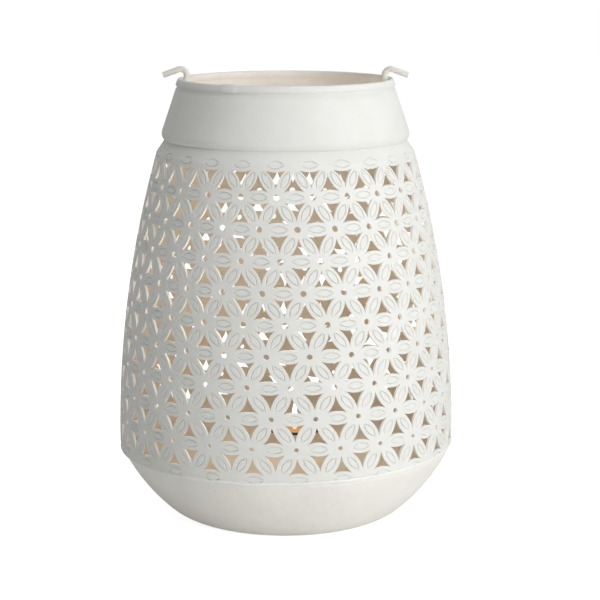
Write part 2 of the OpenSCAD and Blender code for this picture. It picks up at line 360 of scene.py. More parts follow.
@dataclass(frozen=True)
class CandleFlame:
    """A candle's flame: white in its body, amber at the tip, and dim at the foot."""

    name: str
    body: str
    edge: str
    foot: str
    base_mm: float
    top_mm: float
    strength: float = 3.0
    # The shares of its height between which the flame has its body's colour
    body_from: float = 0.3
    body_to: float = 0.82

    def build(self) -> bpy.types.Material:
        """Build the flame's material.

        Returns:
            The material.
        """
        material, tree, place = new_material(self.name)
        height = add_node(tree, "ShaderNodeSeparateXYZ", inputs={"Vector": place}).outputs["Z"]
        share = add_node(tree, "ShaderNodeMapRange", inputs={
            "Value": height, "From Min": self.base_mm * MM, "From Max": self.top_mm * MM})
        ramp = add_node(tree, "ShaderNodeValToRGB", inputs={"Fac": share.outputs["Result"]})
        stops = ramp.color_ramp.elements
        stops[0].color, stops[1].color = linear(self.foot), linear(self.edge)
        for at in (self.body_from, self.body_to):
            stops.new(at).color = linear(self.body)
        shader = add_node(tree, "ShaderNodeEmission", inputs={
            "Color": ramp.outputs["Color"], "Strength": self.strength})
        add_node(tree, "ShaderNodeOutputMaterial", inputs={"Surface": shader.outputs["Emission"]})
        return material


def arc(centre: Point, radius: float, start: float, end: float, steps: int) -> list[Point]:
    """Give the points of an arc.

    Args:
        centre: The arc's centre.
        radius: Its radius.
        start: The first angle, in degrees.
        end: The last angle, in degrees.
        steps: How many steps it has.

    Returns:
        The points, first and last among them.
    """
    angles = [math.radians(start + (end - start) * i / steps) for i in range(steps + 1)]
    return [(centre[0] + radius * math.cos(a), centre[1] + radius * math.sin(a)) for a in angles]


def add_object(name: str, data: bpy.types.ID) -> bpy.types.Object:
    """Put a new object into the scene.

    Args:
        name: What it is called.
        data: Its mesh, lamp or camera.

    Returns:
        The object.
    """
    obj = bpy.data.objects.new(name, data)
    bpy.context.scene.collection.objects.link(obj)
    return obj


def make_object(
    name: str,
    points: list[tuple[float, float, float]],
    faces: list[tuple[int, ...]],
    materials: list[bpy.types.Material],
    slots: list[int] | None = None,
    sharp_deg: float = 40.0,
) -> bpy.types.Object:
    """Make a closed object from points in millimetres.

    Args:
        name: The piece's name.
        points: Its vertices.
        faces: Its faces.
        materials: Its materials, in the order of its slots.
        slots: For each face, its material's number.
        sharp_deg: Edges turned further than this are shaded sharp.

    Returns:
        The object, with doubles merged and faces turned outwards.
    """
    mesh = bpy.data.meshes.new(name)
    mesh.from_pydata([tuple(c * MM for c in p) for p in points], [], faces)
    for material in materials:
        mesh.materials.append(material)
    if slots:
        mesh.polygons.foreach_set("material_index", slots)
    close_shell(mesh, sharp_deg)
    return add_object(name, mesh)


def close_shell(mesh: bpy.types.Mesh, sharp_deg: float) -> None:
    """Merge a shell's doubles, turn its faces outwards and shade it.

    Args:
        mesh: The shell.
        sharp_deg: Edges turned further than this are shaded sharp.
    """
    work = bmesh.new()
    work.from_mesh(mesh)
    bmesh.ops.remove_doubles(work, verts=work.verts, dist=WELD_DISTANCE)
    bmesh.ops.dissolve_degenerate(work, edges=work.edges, dist=WELD_DISTANCE)
    bmesh.ops.recalc_face_normals(work, faces=work.faces)
    work.to_mesh(mesh)
    work.free()
    mesh.shade_smooth()
    mesh.set_sharp_from_angle(angle=math.radians(sharp_deg))


def hoop_faces(rings: int, count: int) -> list[tuple[int, ...]]:
    """Give the faces between rings of points that stand all round the axis.

    Args:
        rings: How many rings there are.
        count: How many points each has.

    Returns:
        The faces, ring by ring, with the last ring joined to the first.
    """
    faces = []
    for i in range(rings):
        here, ahead = i * count, (i + 1) % rings * count
        for j in range(count):
            k = (j + 1) % count
            faces.append((here + j, ahead + j, ahead + k, here + k))
    return faces


def tube_faces(rings: int, count: int) -> list[tuple[int, ...]]:
    """Give the faces of a tube made of rings of points.

    Args:
        rings: How many rings there are.
        count: How many points each has.

    Returns:
        The faces, ring by ring, and then one across each end.
    """
    faces = []
    for i in range(rings - 1):
        here, ahead = i * count, (i + 1) * count
        for j in range(count):
            k = (j + 1) % count
            faces.append((here + j, here + k, ahead + k, ahead + j))
    return faces + [tuple(range(count)), tuple(range((rings - 1) * count, rings * count))]


Warp = Callable[[float, float, float], Point]


def lathe(
    name: str,
    profile: list[Point],
    materials: list[bpy.types.Material],
    sides: int,
    inside_from: int | None = None,
    centre_x: float = 0.0,
    warp: Warp | None = None,
    sharp_deg: float = 40.0,
) -> bpy.types.Object:
    """Turn a closed profile round the upright axis.

    Args:
        name: The piece's name.
        profile: Radius and height of each point, once round the section.
        materials: The material, and that of the inside if it differs.
        sides: Steps round the axis.
        inside_from: The first point of the profile whose faces lie inside.
        centre_x: Where the axis stands.
        warp: Gives the new radius and height for an angle in radians, a radius and a height.
        sharp_deg: Edges turned further than this are shaded sharp.

    Returns:
        The turned object.
    """
    count = len(profile)
    points = []
    for i in range(sides):
        turn = math.tau * i / sides
        for r, z in profile:
            new_r, new_z = warp(turn, r, z) if warp and r > 0 else (r, z)
            points.append((centre_x + new_r * math.cos(turn), new_r * math.sin(turn), new_z))
    on_axis = [profile[j][0] == 0 == profile[(j + 1) % count][0] for j in range(count)]
    first_inside = count if inside_from is None else inside_from
    faces, slots = [], []
    for number, face in enumerate(hoop_faces(sides, count)):
        if not on_axis[number % count]:
            faces.append(face)
            slots.append(int(number % count >= first_inside))
    return make_object(name, points, faces, materials, slots, sharp_deg)


def seam_waver(turn: float) -> float:
    """Give how far the hand-cut seam strays from its plane, in millimetres, at an angle in radians."""
    slow = hand_wobble(turn, 0.0, waves=30, seed=5.2)
    return 0.4 * slow + 0.25 * hand_wobble(turn, 0.0, waves=90, seed=8.1)


def hand_wobble(turn: float, height: float, waves: float, seed: float) -> float:
    """Give an even unevenness round a turned piece.

    Args:
        turn: The angle, in radians.
        height: The height, in millimetres.
        waves: How many waves stand round the piece.
        seed: Sets one pattern apart from another.

    Returns:
        A number from about -1 to 1.
    """
    around = waves / math.tau
    return noise.noise(Vector((math.cos(turn) * around, math.sin(turn) * around, height * 0.03 + seed)))


@dataclass
class Shape:
    """The sizes that the sub-assemblies share, as the part's source has them."""

    sheet: float = 1.6
    barrel_r: float = 110.6
    bulge_r: float = 685.0
    first_ring_z: float = 52.5
    shoulder_z: float = 241.6
    neck_z: float = 249.4
    seam_z: float = 48.0
    seam_tilt: float = 1.0
    plate_z: float = 42.0
    gap: float = 0.05
    lip_r: float = 80.7
    lip_round: float = 5.8
    lip_turn: float = 43.0
    collar_lean: float = 18.8
    collar_h: float = 37.6

    @property
    def seam_rise(self) -> float:
        """How far the seam rises from the middle to the right."""
        return self.barrel_r * math.tan(math.radians(self.seam_tilt))

    @property
    def lip_centre(self) -> Point:
        """The middle of the lip's roll."""
        drop = self.lip_round * math.sin(math.radians(self.lip_turn))
        return self.lip_r - self.lip_round, self.neck_z + self.gap + drop

    @property
    def lip_edge_r(self) -> float:
        """The radius of the lip's lower edge."""
        return self.lip_centre[0] + self.lip_round * math.cos(math.radians(self.lip_turn))

    @property
    def collar_top(self) -> float:
        """The height of the collar's top edge."""
        return self.neck_z + self.gap + self.collar_h

    def collar_at(self, z: float, inset: float = 0.0) -> float:
        """Give the collar's radius at a height, that far in from its outside.

        Args:
            z: The height.
            inset: How far in from the outside.

        Returns:
            The radius.
        """
        lean = math.radians(self.collar_lean)
        start_r = self.lip_centre[0] + self.lip_round * math.cos(lean)
        start_z = self.lip_centre[1] + self.lip_round * math.sin(lean)
        return start_r - (z - start_z) * math.tan(lean) - inset / math.cos(lean)

    def barrel_at(self, z: float, inset: float = 0.0) -> float:
        """Give the barrel's radius at a height, that far in from its outside."""
        rise = max(z - self.first_ring_z, 0.0)
        return self.barrel_r - self.bulge_r + math.sqrt((self.bulge_r - inset) ** 2 - rise**2)


@dataclass
class Corner:
    """A flower's middle, where three-cornered gaps point."""

    across: float
    row: int


@dataclass
class PiercedBarrel:
    """The barrel of pierced sheet, one column of flowers wide, and repeated round the axis."""

    shape: Shape
    rows: int = 9
    flowers: int = 25
    margin: float = 2.1
    row_lean: float = 0.87
    first_turn: float = 0.2
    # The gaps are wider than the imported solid's, and their edges bulge more
    gap_w: float = 13.2
    gap_h: float = 11.3
    gap_lift: float = 3.0
    gap_bulge: float = 1.2
    eye_r: float = 1.95
    # The first row's share of the full eye, what the rows above add to it, and over how many rows
    low_eye: float = 0.77
    eye_growth: float = 0.23
    growing_rows: int = 4
    # How far the sheet's lower edge is turned in above the bead
    edge_turn: float = 0.6
    lens_half: float = 5.7
    lens_w: float = 2.2
    # Where the lens's outline is drawn, as shares of its half length
    lens_shares: tuple[float, ...] = (-1.0, -0.8, -0.42, 0.0, 0.42, 0.8, 1.0)
    groove_w: float = 0.55
    groove_depth: float = 0.95
    # Shares across a petal at which its points lie where no line is pressed
    bare_marks: tuple[float, ...] = (0.02, 0.05, 0.1)
    # How near its corners a gap's edge has its next points, as a share of its length
    corner_share: float = 0.03
    # How much of the first step of the plain sheet the pressed line may take
    line_limit: float = 0.94
    # How far above the last row the pressed line's step ends
    lens_rise: float = 3.4
    neck_top: float = 257.4
    sharp_deg: float = 32.0
    points: list[tuple[float, float, float]] = field(default_factory=list)
    sides: list[float] = field(default_factory=list)
    seams: list[float] = field(default_factory=list)
    faces: list[tuple[int, ...]] = field(default_factory=list)
    inside: list[bool] = field(default_factory=list)

    @property
    def lattice_z(self) -> float:
        """The height of the lattice's lowest line."""
        return self.shape.seam_z + self.margin

    @property
    def pitch(self) -> float:
        """The height from one row to the next."""
        return (self.shape.shoulder_z - self.lattice_z) / (self.rows + 1)

    def row_z(self, row: float) -> float:
        """Give a row's height."""
        return self.lattice_z + row * self.pitch

    def spacing(self, z: float) -> float:
        """Give the distance between flowers at a height."""
        return self.shape.barrel_at(z) * math.tau / self.flowers

    def add_point(self, spot: tuple[float, float, float], radius: float, seam: float = 0.0) -> int:
        """Add a point, and return its number.

        Args:
            spot: Flowers across, millimetres to the side of that, and height.
            radius: The distance from the axis.
            seam: 1 on the seam's edge, and 0 on the lattice.

        Returns:
            The point's number.
        """
        self.points.append((spot[0], radius, spot[2]))
        self.sides.append(spot[1])
        self.seams.append(seam)
        return len(self.points) - 1

    def add_grid(self, grid: list[list[int]], inside: bool = False) -> None:
        """Add the faces between rows of points.

        Args:
            grid: Rows of the numbers of points.
            inside: Whether these faces are on the inside.
        """
        for a, b in zip(grid, grid[1:]):
            for k in range(len(a) - 1):
                self.faces.append((a[k], a[k + 1], b[k + 1], b[k]))
                self.inside.append(inside)

    def eye_share(self, row: float) -> float:
        """Give a row's share of the full eye, as the eyes of the lowest rows are a little smaller."""
        return self.low_eye + self.eye_growth * min((row - 1) / self.growing_rows, 1.0)

    def eye_point(self, corner: Corner, degrees: float) -> tuple[float, float, float]:
        """Give a point on the rim of a flower's eye, or its middle on the first and last row.

        Args:
            corner: The flower.
            degrees: The point's angle round the eye.

        Returns:
            Flowers across, millimetres to the side of that, and height.
        """
        r = self.eye_r * self.eye_share(corner.row) if 0 < corner.row <= self.rows else 0.0
        a = math.radians(degrees)
        return corner.across, r * math.cos(a), self.row_z(corner.row) + r * math.sin(a)

    def lens_at(self, along: float) -> float:
        """Give half the width of a petal's pressed lens, that far from the petal's middle."""
        return self.lens_w * max(1 - (along / self.lens_half) ** 2, 0.0)

    def groove_marks(self, along: float, width: float) -> tuple[list[float], float]:
        """Give where the pressed line lies across a petal, and how deep.

        Args:
            along: How far from the petal's middle.
            width: The reach from the petal's midline to the gap.

        Returns:
            The line's inner edge, floor and outer edge as shares of the width, and its depth.
        """
        w = self.lens_at(along)
        offs = (-self.groove_w, 0.0, self.groove_w)
        marks = [max(least, (w + off) / width) for least, off in zip(self.bare_marks, offs)]
        return marks, self.groove_depth if w > 0 else 0.0

    def petal_half(self, start: Corner, end: Corner, turns: tuple[float, float, float, float],
                   middle: float, from_gap: Point, to_gap: Point, tip: Point) -> None:
        """Add the half petal between a petal's midline and a gap's edge, with the walls of gap and eyes.

        Args:
            start: The flower at which the petal starts.
            end: The flower at which it ends.
            turns: At the start, the angles of the gap's corner and of the petal, and at the end,
                the other way round.
            middle: The gap's place across the column.
            from_gap: The gap's corner near the start.
            to_gap: The gap's corner near the end.
            tip: The gap's third corner, towards which the edge bulges.
        """
        run = (to_gap[0] - from_gap[0], to_gap[1] - from_gap[1])
        length = math.hypot(*run)
        inward = (-run[1] / length, run[0] / length)
        if inward[0] * (tip[0] - from_gap[0]) + inward[1] * (tip[1] - from_gap[1]) < 0:
            inward = (-inward[0], -inward[1])
        first, last = self.eye_point(start, turns[1]), self.eye_point(end, turns[2])
        z = (first[2] + last[2]) / 2
        step = self.spacing(z)
        reach = math.hypot((last[0] - first[0]) * step + last[1] - first[1], last[2] - first[2])
        alongs = [self.lens_half * share for share in self.lens_shares]
        outer = [self.eye_point(start, turns[0]), first]
        for p in alongs:
            share = 0.5 + p / reach
            outer.append(tuple(a + (b - a) * share for a, b in zip(first, last)))
        outer += [last, self.eye_point(end, turns[3])]
        near = self.corner_share
        shares = [0.0, near] + [0.5 + p / length for p in alongs] + [1 - near, 1.0]
        inner = []
        for t in shares:
            push = 4 * self.gap_bulge * t * (1 - t)
            inner.append((middle, from_gap[0] + run[0] * t + inward[0] * push,
                          from_gap[1] + run[1] * t + inward[1] * push))
        outside, within = [], []
        for k, (a, b) in enumerate(zip(outer, inner)):
            width = math.hypot((b[0] - a[0]) * step + b[1] - a[1], b[2] - a[2])
            lens = 2 <= k < len(outer) - 2
            marks, deep = self.groove_marks(alongs[k - 2], width) if lens else (self.bare_marks, 0.0)
            column = []
            for s, depth in zip([0.0, *marks, 1.0], [0.0, 0.0, deep, 0.0, 0.0]):
                spot = tuple(p + (q - p) * s for p, q in zip(a, b))
                column.append(self.add_point(spot, self.shape.barrel_at(spot[2], depth)))
            outside.append(column)
            within.append([self.add_point(p, self.shape.barrel_at(p[2], self.shape.sheet)) for p in (a, b)])
        self.add_grid(outside)
        self.add_grid(within, inside=True)
        self.add_grid([[o[-1], w[-1]] for o, w in zip(outside, within)])
        for corner, pair in ((start, (0, 1)), (end, (-2, -1))):
            if 0 < corner.row <= self.rows:
                self.add_grid([[outside[k][0], within[k][0]] for k in pair])

    def gap_cell(self, row: int, across: float, side: int) -> None:
        """Add the three half petals round a gap.

        Args:
            row: The row of the two flowers at the gap's base.
            across: The gap's place across the column.
            side: 1 for a gap above its row, and -1 for one below it.
        """
        z = self.row_z(row)
        left, right = Corner(across - 0.5, row), Corner(across + 0.5, row)
        top = Corner(across, row + side)
        low = z + side * self.gap_lift
        a, b, c = (-self.gap_w / 2, low), (self.gap_w / 2, low), (0.0, low + side * self.gap_h)
        self.petal_half(left, right, (30 * side, 0, 180, 180 - 30 * side), across, a, b, c)
        self.petal_half(right, top, (180 - 30 * side, 180 - 60 * side, -60 * side, -90 * side),
                        across, b, c, a)
        self.petal_half(top, left, (-90 * side, -120 * side, 60 * side, 30 * side), across, c, a, b)

    def plain_band(self, row: int, across: float, outer: list[tuple[float, float, float]],
                   inner: list[tuple[float, float, float]], width: float) -> None:
        """Add the plain sheet beyond the first or last row, with the other half of that row's petals.

        Args:
            row: The row.
            across: The place of the petal at its start.
            outer: For each height outside, the height, the radius and the share of the seam.
            inner: The same inside, from the row on.
            width: The reach of the first step outside, which holds the pressed line.
        """
        reach = self.spacing(self.row_z(row))
        alongs = [self.lens_half * share for share in self.lens_shares]
        spots = [0.0, *(0.5 + p / reach for p in alongs), 1.0]
        outside, within = [], []
        (z0, r0, s0), (z1, r1, s1) = outer[:2]
        for k, share in enumerate(spots):
            lens = 0 < k < len(spots) - 1
            marks, deep = self.groove_marks(alongs[k - 1], width) if lens else (self.bare_marks, 0.0)
            column = []
            for s, depth in zip([0.0, *marks], [0.0, 0.0, deep, 0.0]):
                s = min(s, self.line_limit)
                column.append(self.add_point((across + share, 0.0, z0 + (z1 - z0) * s),
                                             r0 + (r1 - r0) * s - depth, s0 + (s1 - s0) * s))
            column += [self.add_point((across + share, 0.0, z), r, s) for z, r, s in outer[1:]]
            outside.append(column)
            within.append([self.add_point((across + share, 0.0, z), r, s) for z, r, s in inner])
        self.add_grid(outside)
        self.add_grid(within, inside=True)
        self.add_grid([[o[-1], w[-1]] for o, w in zip(outside, within)])

    def column(self) -> bpy.types.Mesh:
        """Make one column of the barrel, with flowers across, radius and height as its coordinates.

        Returns:
            The column's mesh.
        """
        shape = self.shape
        for row in range(self.rows + 1):
            base = 0.5 if row % 2 == 0 else 0.0
            self.gap_cell(row, base + 0.5, 1)
            self.gap_cell(row + 1, base + 1.0, -1)
        self.plain_band(
            0, 0.5,
            [(self.lattice_z, shape.barrel_r, 0.0), (shape.seam_z, shape.barrel_r - self.edge_turn, 1.0)],
            [(self.lattice_z, shape.barrel_at(self.lattice_z, shape.sheet), 0.0),
             (shape.seam_z, shape.barrel_r - shape.sheet, 1.0)],
            self.margin)
        top_r, top_z = shape.barrel_at(shape.shoulder_z), shape.shoulder_z
        turn = math.radians(shape.lip_turn)
        neck_r = shape.lip_edge_r - shape.sheet * math.cos(turn) - shape.gap
        bend_z = shape.neck_z + shape.sheet * math.sin(turn) - shape.gap
        slope = (top_r - neck_r) / (bend_z - top_z)
        bend_drop = shape.sheet * math.tan(math.atan(slope) / 2)
        lens_z = top_z + self.lens_rise
        self.plain_band(
            self.rows + 1, 0.5,
            [(top_z, top_r, 0.0), (lens_z, top_r - slope * self.lens_rise, 0.0), (bend_z, neck_r, 0.0),
             (self.neck_top, neck_r, 0.0)],
            [(top_z, shape.barrel_at(top_z, shape.sheet), 0.0),
             (bend_z - bend_drop, neck_r - shape.sheet, 0.0),
             (self.neck_top, neck_r - shape.sheet, 0.0)],
            self.lens_rise)
        mesh = bpy.data.meshes.new("flower_column")
        mesh.from_pydata(self.points, [], self.faces)
        mesh.attributes.new("side", "FLOAT", "POINT").data.foreach_set("value", self.sides)
        mesh.attributes.new("seam", "FLOAT", "POINT").data.foreach_set("value", self.seams)
        mesh.attributes.new("inside", "BOOLEAN", "FACE").data.foreach_set("value", self.inside)
        return mesh

    def tree(self) -> tuple[bpy.types.NodeTree, dict[str, str]]:
        """Make the nodes that repeat the column and bend it round the axis.

        Returns:
            The tree, and the identifier of each named input.
        """
        tree = bpy.data.node_groups.new("flowers_round_barrel", "GeometryNodeTree")
        face = tree.interface
        face.new_socket("Geometry", in_out="INPUT", socket_type="NodeSocketGeometry")
        numbers = ("First turn", "Flower turn", "Lean", "Lean from", "Seam rise", "Scale")
        named = {"Flowers": "NodeSocketInt", **dict.fromkeys(numbers, "NodeSocketFloat"),
                 "Outside": "NodeSocketMaterial", "Inside": "NodeSocketMaterial"}
        ids = {name: face.new_socket(name, in_out="INPUT", socket_type=kind).identifier
               for name, kind in named.items()}
        face.new_socket("Geometry", in_out="OUTPUT", socket_type="NodeSocketGeometry")
        given = add_node(tree, "NodeGroupInput").outputs

        def maths(operation: str, a: Any, b: Any = 0.0) -> bpy.types.NodeSocket:
            """Add one sum, and return its result."""
            return add_node(tree, "ShaderNodeMath", {"operation": operation}, {0: a, 1: b}).outputs[0]

        def held(name: str, kind: str = "FLOAT") -> bpy.types.NodeSocket:
            """Read an attribute of the column."""
            stored = add_node(tree, "GeometryNodeInputNamedAttribute", {"data_type": kind}, {"Name": name})
            return stored.outputs[0]

        line = add_node(tree, "GeometryNodeMeshLine", {"mode": "OFFSET"}, {
            "Count": given["Flowers"], "Offset": (1.0, 0.0, 0.0)})
        copies = add_node(tree, "GeometryNodeInstanceOnPoints", inputs={
            "Points": line.outputs["Mesh"], "Instance": given["Geometry"]})
        real = add_node(tree, "GeometryNodeRealizeInstances", inputs={
            "Geometry": copies.outputs["Instances"]})
        spot = add_node(tree, "ShaderNodeSeparateXYZ", inputs={
            "Vector": add_node(tree, "GeometryNodeInputPosition").outputs["Position"]}).outputs
        lean = maths("MULTIPLY", maths("SUBTRACT", given["Lean from"], spot["Z"]), given["Lean"])
        round_by = maths("ADD", given["First turn"], maths("MULTIPLY", spot["X"], given["Flower turn"]))
        turn = maths("ADD", round_by, maths("ADD", lean, maths("DIVIDE", held("side"), spot["Y"])))
        cosine = maths("COSINE", turn)
        rise = maths("MULTIPLY", held("seam"), maths("MULTIPLY", cosine, given["Seam rise"]))
        height = maths("ADD", spot["Z"], rise)
        place = add_node(tree, "ShaderNodeCombineXYZ", inputs={
            "X": maths("MULTIPLY", maths("MULTIPLY", spot["Y"], cosine), given["Scale"]),
            "Y": maths("MULTIPLY", maths("MULTIPLY", spot["Y"], maths("SINE", turn)), given["Scale"]),
            "Z": maths("MULTIPLY", height, given["Scale"])})
        bent = add_node(tree, "GeometryNodeSetPosition", inputs={
            "Geometry": real.outputs["Geometry"], "Position": place.outputs["Vector"]})
        whole = add_node(tree, "GeometryNodeRealizeInstances", inputs={
            "Geometry": bent.outputs["Geometry"]})
        painted = add_node(tree, "GeometryNodeSetMaterial", inputs={
            "Geometry": whole.outputs["Geometry"], "Material": given["Outside"]})
        lined = add_node(tree, "GeometryNodeSetMaterial", inputs={
            "Geometry": painted.outputs["Geometry"], "Selection": held("inside", "BOOLEAN"),
            "Material": given["Inside"]})
        add_node(tree, "NodeGroupOutput", inputs={"Geometry": lined.outputs["Geometry"]})
        return tree, ids

    def build(self, outside: bpy.types.Material, inside: bpy.types.Material) -> bpy.types.Object:
        """Build the barrel as one closed mesh.

        Args:
            outside: The paint outside and on the cut edges.
            inside: The paint inside.

        Returns:
            The barrel.
        """
        column = self.column()
        maker = add_object("flower_column", column)
        tree, ids = self.tree()
        repeat = maker.modifiers.new("flowers", "NODES")
        repeat.node_group = tree
        middle_row = (self.rows + 1) / 2
        given = {
            "Flowers": self.flowers,
            "First turn": math.radians(FRONT + self.first_turn),
            "Flower turn": math.tau / self.flowers,
            "Lean": math.radians(self.row_lean) / self.pitch,
            "Lean from": self.row_z(middle_row),
            "Seam rise": self.shape.seam_rise,
            "Scale": MM,
            "Outside": outside,
            "Inside": inside,
        }
        for name, value in given.items():
            repeat[ids[name]] = value
        graph = bpy.context.evaluated_depsgraph_get()
        mesh = bpy.data.meshes.new_from_object(maker.evaluated_get(graph))
        bpy.data.objects.remove(maker)
        bpy.data.meshes.remove(column)
        for vertex, edge in zip(mesh.vertices, mesh.attributes["seam"].data):
            vertex.co.z += edge.value * seam_waver(math.atan2(vertex.co.y, vertex.co.x)) * MM
        for name in ("side", "seam", "inside"):
            if name in mesh.attributes:
                mesh.attributes.remove(mesh.attributes[name])
        close_shell(mesh, self.sharp_deg)
        mesh.name = "pierced_sheet"
        return add_object("pierced_sheet", mesh)


@dataclass
class Bowl:
    """The plain bowl that the lantern stands on, with the bead that joins it to the barrel."""

    shape: Shape
    foot_r: float = 58.0
    foot_round: float = 34.0
    foot_z: float = 8.0
    lap: float = 3.4
    wobble: float = 0.16
    # The side is beaten out of true between these heights, and this fades over that reach
    beaten_from: float = 4.0
    beaten_to: float = 40.0
    beaten_fade: float = 12.0
    sides: int = 180
    foot_steps: int = 12
    side_steps: int = 26
    bead_sides: int = 720
    bead_around: int = 9
    bead_r: float = 1.0
    bead_inset: float = 0.03
    bead_drop: float = 0.35
    # How much short lumps and a slower swell change the bead's size, and the lumps its height
    bead_lump: float = 0.25
    bead_swell: float = 0.2
    bead_rise: float = 0.15

    def outline(self, inset: float) -> list[Point]:
        """Give the bowl's outline from its flat to the seam.

        Args:
            inset: How far in from the outside.

        Returns:
            The outline's points.
        """
        shape = self.shape
        turn = math.acos(1 - self.foot_z / self.foot_round)
        centre = (self.foot_r, self.foot_round)
        start = (centre[0] + self.foot_round * math.sin(turn), centre[1] - self.foot_round * math.cos(turn))
        run = (shape.barrel_r - shape.sheet - start[0], shape.seam_z - shape.seam_rise - start[1])
        radius = (run[0] ** 2 + run[1] ** 2) / (2 * (run[1] * math.cos(turn) - run[0] * math.sin(turn)))
        side = (start[0] - radius * math.sin(turn), start[1] + radius * math.cos(turn))
        end = math.degrees(math.atan2(start[1] + run[1] - side[1], start[0] + run[0] - side[0]))
        meet = FRONT + math.degrees(turn)
        return (arc(centre, self.foot_round - inset, FRONT, meet, self.foot_steps)
                + arc(side, radius - inset, meet, end, self.side_steps)[1:])

    def warp(self, turn: float, r: float, z: float) -> tuple[float, float]:
        """Beat the bowl's side slightly out of true, and leave its foot and edge.

        Args:
            turn: The angle, in radians.
            r: The radius.
            z: The height.

        Returns:
            The new radius and height.
        """
        fade = self.beaten_fade
        share = max(min((z - self.beaten_from) / fade, (self.beaten_to - z) / fade, 1.0), 0.0)
        return r - self.wobble * share * (1 + hand_wobble(turn, z, waves=9, seed=3.1)), z

    def build_bowl(self, outside: bpy.types.Material, inside: bpy.types.Material) -> bpy.types.Object:
        """Build the bowl.

        Args:
            outside: Its paint outside.
            inside: Its paint inside.

        Returns:
            The bowl.
        """
        shape = self.shape
        outer, inner = self.outline(0.0), self.outline(shape.sheet)
        edge_r, top = shape.barrel_r - shape.sheet, shape.seam_z + self.lap
        profile = [(0.0, 0.0), *outer, (edge_r, top), (edge_r - shape.sheet, top), *reversed(inner),
                   (0.0, shape.sheet)]
        return lathe("bowl", profile, [outside, inside], self.sides, len(outer) + 1, warp=self.warp)

    def build_bead(self, paint: bpy.types.Material) -> bpy.types.Object:
        """Build the uneven weld bead under the barrel's edge.

        Args:
            paint: Its paint.

        Returns:
            The bead.
        """
        shape = self.shape
        outer_r = shape.barrel_r - self.bead_inset
        points = []
        for i in range(self.bead_sides):
            turn = math.tau * i / self.bead_sides
            lump = (hand_wobble(turn, 0.0, waves=120, seed=7.7)
                    + 0.5 * hand_wobble(turn, 0.0, waves=260, seed=2.9))
            swell = hand_wobble(turn, 0.0, waves=36, seed=1.4)
            size = self.bead_r + self.bead_lump * lump + self.bead_swell * swell
            z = (shape.seam_z + shape.seam_rise * math.cos(turn) - self.bead_drop
                 + seam_waver(turn) + self.bead_rise * lump)
            for j in range(self.bead_around):
                a = math.tau * j / self.bead_around
                r = outer_r - size * (1 - math.cos(a))
                points.append((r * math.cos(turn), r * math.sin(turn), z + size * math.sin(a)))
        faces = hoop_faces(self.bead_sides, self.bead_around)
        return make_object("seam_bead", points, faces, [paint], sharp_deg=80)


